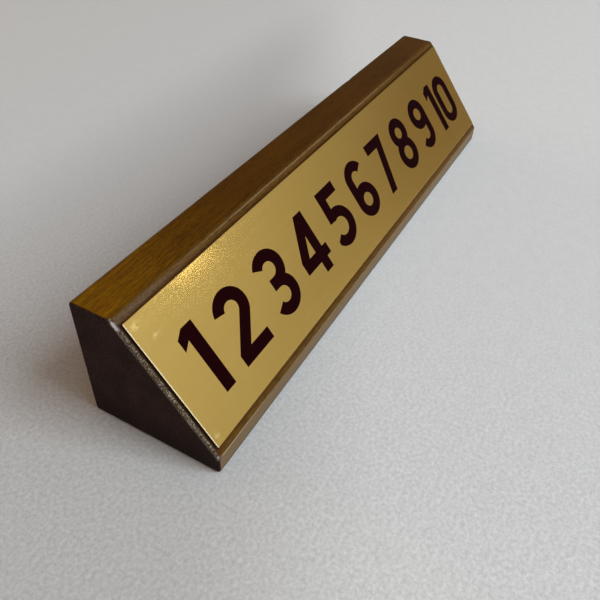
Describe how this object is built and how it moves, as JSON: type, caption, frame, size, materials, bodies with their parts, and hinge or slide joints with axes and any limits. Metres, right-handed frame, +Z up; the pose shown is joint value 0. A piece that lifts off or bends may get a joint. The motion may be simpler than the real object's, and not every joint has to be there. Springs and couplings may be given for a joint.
{
  "type": "reserved table sign",
  "caption": "Long solid wood wedge with a narrow top, a sloped front and a low toe, and a thin gold-coloured metal plate stuck to the slope.",
  "frame": {"origin": "on the table, under the middle of the block's bounding box", "axes": "+X along the sign's length towards the reader's right, -Y out of the front where the plate faces, +Z up"},
  "size_m": [0.2, 0.0394, 0.038],
  "materials": {
    "stained_wood": "walnut brown stain under satin lacquer, lighter along the sanded arrises",
    "gold_plate": "gold anodised, finely brushed along its length, bare bright cut edges",
    "tape": "dark double-sided film tape",
    "print": "near-black brown printed numerals, satin"
  },
  "bodies": {
    "root": {"wood_block": "stained_wood", "face_plate": "gold_plate", "tape_upper": "tape", "tape_lower": "tape"}
  },
  "joints": []
}
